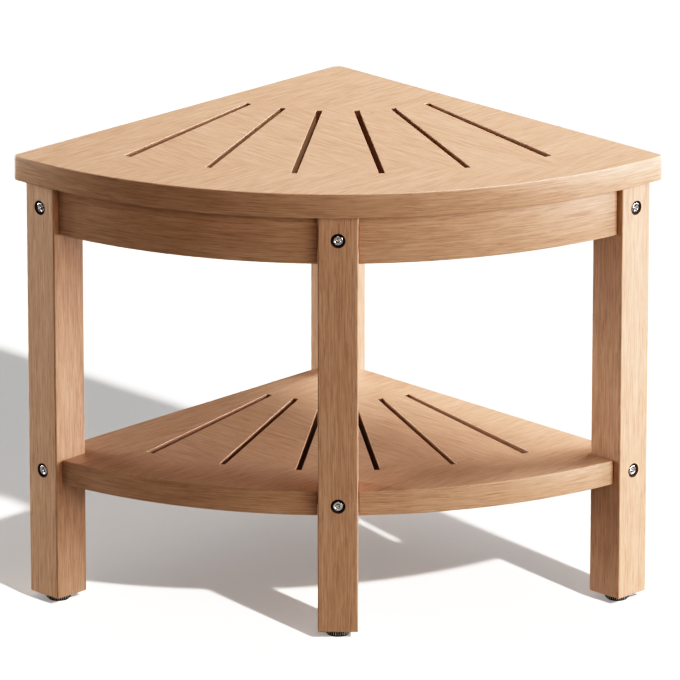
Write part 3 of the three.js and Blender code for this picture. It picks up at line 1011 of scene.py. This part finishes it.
def add_floor():
    floor = turned("floor", [(0, 0), (FLOOR_RADIUS, 0)], 96)
    for face in floor.data.polygons:
        face.flip()
    material, nodes = new_material("floor_paint")
    position = nodes.object_coordinates()
    cloud = nodes.speckle(position, 3, 3.0)
    shade = nodes.mix(cloud, *FLOOR_COLOURS)
    nodes.surface({"Base Color": shade, "Roughness": 0.9, "Specular IOR Level": 0.1})
    floor.data.materials.append(material)
    return floor


def direction(azimuth, elevation):
    """A unit vector; azimuth 0 is the front and positive is to the right."""
    az, el = math.radians(azimuth), math.radians(elevation)
    flat = math.cos(el)
    return Vector((flat * math.sin(az), -flat * math.cos(az), math.sin(el)))


def add_light(name, kind, place, energy, distance=3.0, **settings):
    """A lamp that looks at LIT_POINT from `place`, an azimuth and an elevation."""
    light = bpy.data.lights.new(name, kind)
    light.energy = energy
    for key, value in settings.items():
        setattr(light, key, value)
    lamp = bpy.data.objects.new(name, light)
    bpy.context.scene.collection.objects.link(lamp)
    towards = direction(*place)
    lamp.location = LIT_POINT + towards * distance
    lamp.rotation_euler = towards.to_track_quat("Z", "Y").to_euler()
    lamp.visible_camera = False
    return lamp


def light_only(lamp, piece, state):
    """Links a lamp to one piece alone, or to everything but that piece."""
    receivers = bpy.data.collections.new(f"{lamp.name}_receivers")
    receivers.objects.link(piece)
    receivers.collection_objects[0].light_linking.link_state = state
    lamp.light_linking.receiver_collection = receivers


def add_lights(floor):
    """The floor's own lights keep it white with pale shadows; softboxes light the stool.

    Both floor suns stand in the same place, but only the first also lights the stool, by bouncing.
    """
    sky = {"shape": "SQUARE", "size": OVERCAST_SIZE}
    lamps = [
        add_light("floor_shine", "SUN", SUN_PLACE, FLOOR_SHINE, angle=SUN_SPREAD, color=WARM),
        add_light("floor_sun", "SUN", SUN_PLACE, FLOOR_SUN, angle=SUN_SPREAD),
        add_light("floor_shade", "SUN", OVERHEAD, FLOOR_SHADE, use_shadow=False),
        add_light("overcast", "AREA", OVERHEAD, OVERCAST_POWER, OVERCAST_DISTANCE, **sky),
    ]
    for lamp in lamps:
        light_only(lamp, floor, "INCLUDE")
    for lamp in lamps[1:]:
        lamp.data.cycles.max_bounces = 0
    for name, azimuth, elevation, power, colour in SOFTBOXES:
        box = {"shape": "SQUARE", "size": SOFTBOX_SIZE, "color": colour}
        lamp = add_light(name, "AREA", (azimuth, elevation), power, SOFTBOX_DISTANCE, **box)
        light_only(lamp, floor, "EXCLUDE")


def add_world():
    """White behind everything, which gives no light of its own."""
    world = bpy.data.worlds.new("studio")
    bpy.context.scene.world = world
    world.use_nodes = True
    world.node_tree.nodes.clear()
    nodes = Nodes(world.node_tree)
    seen = nodes.add("ShaderNodeLightPath").outputs["Is Camera Ray"]
    strength = nodes.mix(seen, 0.0, BACKDROP_STRENGTH, "FLOAT")
    shader = nodes.add("ShaderNodeBackground", {"Color": (1, 1, 1, 1), "Strength": strength})
    output = nodes.add("ShaderNodeOutputWorld")
    world.node_tree.links.new(shader.outputs[0], output.inputs["Surface"])


def add_camera():
    """A long lens that looks down along the stool's diagonal."""
    data = bpy.data.cameras.new("camera")
    data.sensor_width = 36.0
    data.lens = FOCAL_LENGTH
    data.shift_x = SHIFT_X
    data.clip_end = 60.0
    camera = bpy.data.objects.new("camera", data)
    bpy.context.scene.collection.objects.link(camera)
    away = Vector((0, -math.cos(CAMERA_PITCH), math.sin(CAMERA_PITCH)))
    camera.location = CAMERA_TARGET + away * CAMERA_DISTANCE
    camera.rotation_euler = (math.pi / 2 - CAMERA_PITCH, 0, 0)
    bpy.context.scene.camera = camera


def linear(shown):
    """The light behind a displayed value."""
    return shown / 12.92 if shown < 0.04045 else ((shown + 0.055) / 1.055) ** 2.4


def set_view(view):
    """The plain view with a gentle S-curve."""
    view.view_transform = "Standard"
    view.look = "None"
    view.use_curve_mapping = True
    points = view.curve_mapping.curves[3].points
    for step in range(1, CURVE_STEPS):
        shown = step / CURVE_STEPS
        lift = 2 * VIEW_CONTRAST * shown * (1 - shown) * (2 * shown - 1)
        points.new(linear(shown), linear(shown + lift))
    for point in points:
        point.handle_type = "VECTOR"
    view.curve_mapping.update()


add_boards()
add_aprons_and_rails()
add_legs()
add_feet()
dress_hidden_nodes()
add_lights(add_floor())
add_world()
add_camera()
set_view(bpy.context.scene.view_settings)
